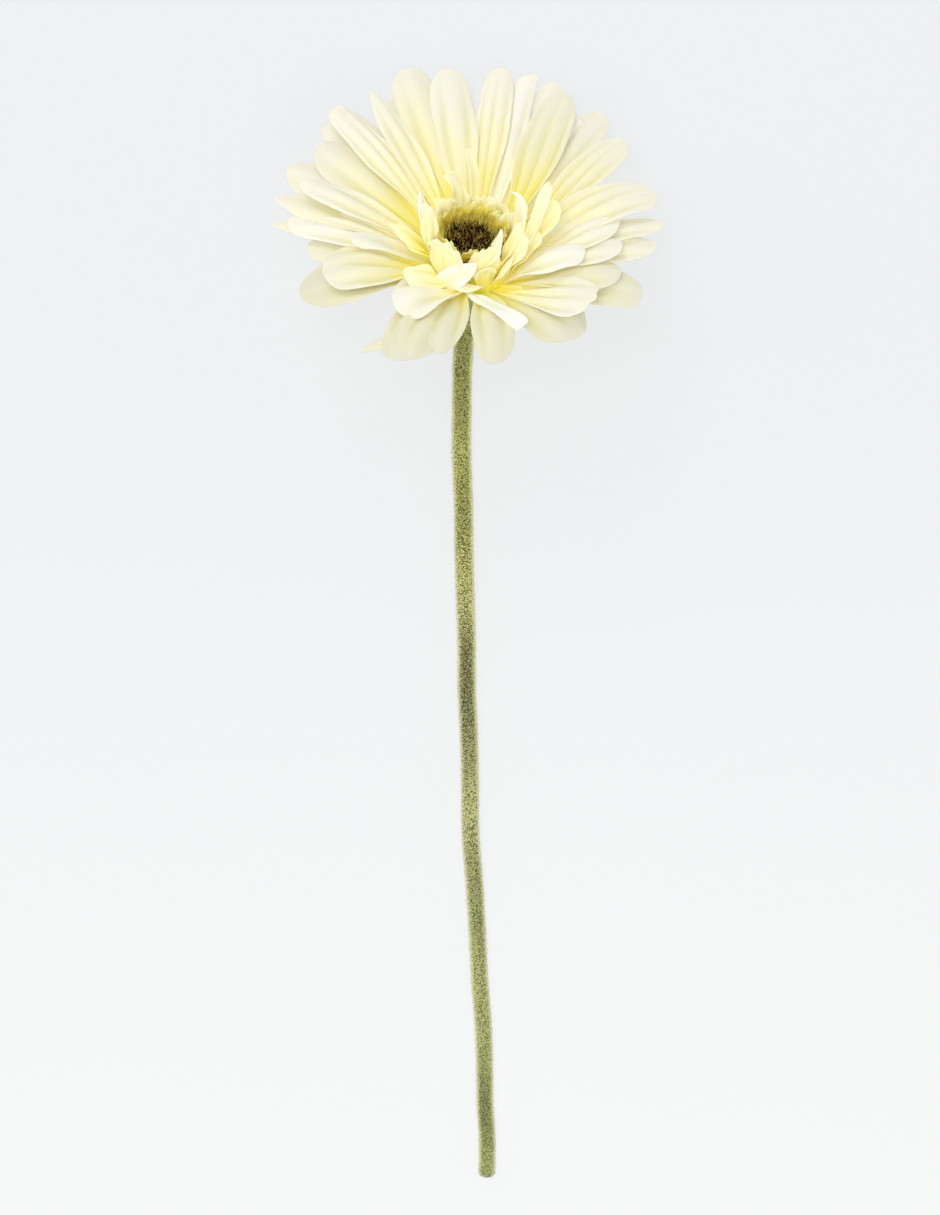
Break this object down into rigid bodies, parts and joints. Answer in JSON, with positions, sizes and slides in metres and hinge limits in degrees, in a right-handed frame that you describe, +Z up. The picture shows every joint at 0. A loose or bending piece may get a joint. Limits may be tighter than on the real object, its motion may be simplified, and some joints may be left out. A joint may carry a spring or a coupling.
{
  "type": "cut gerbera",
  "caption": "Cut gerbera, laid down: layered long cream petals, short inner petals, a dark disc with an ochre ring, and a leafless green stem.",
  "frame": {"origin": "middle of the underside of the flower's box, on the surface it lies on", "axes": "+Z up from the surface; +Y along the stem from its cut end to the head"},
  "size_m": [0.1202, 0.3492, 0.0661],
  "materials": {
    "ray_petals": "soft matte cream, yellow at the base",
    "inner_petals": "soft matte cream, yellow at the base",
    "disc_ring": "matte ochre florets",
    "disc_centre": "matte dark brown florets",
    "calyx": "matte green, finely haired",
    "stem": "matte olive green, finely furred"
  },
  "bodies": {
    "root": {"ray_petals": "ray_petals", "inner_petals": "inner_petals", "disc_ring": "disc_ring", "disc_centre": "disc_centre", "calyx": "calyx", "stem": "stem"}
  },
  "joints": []
}
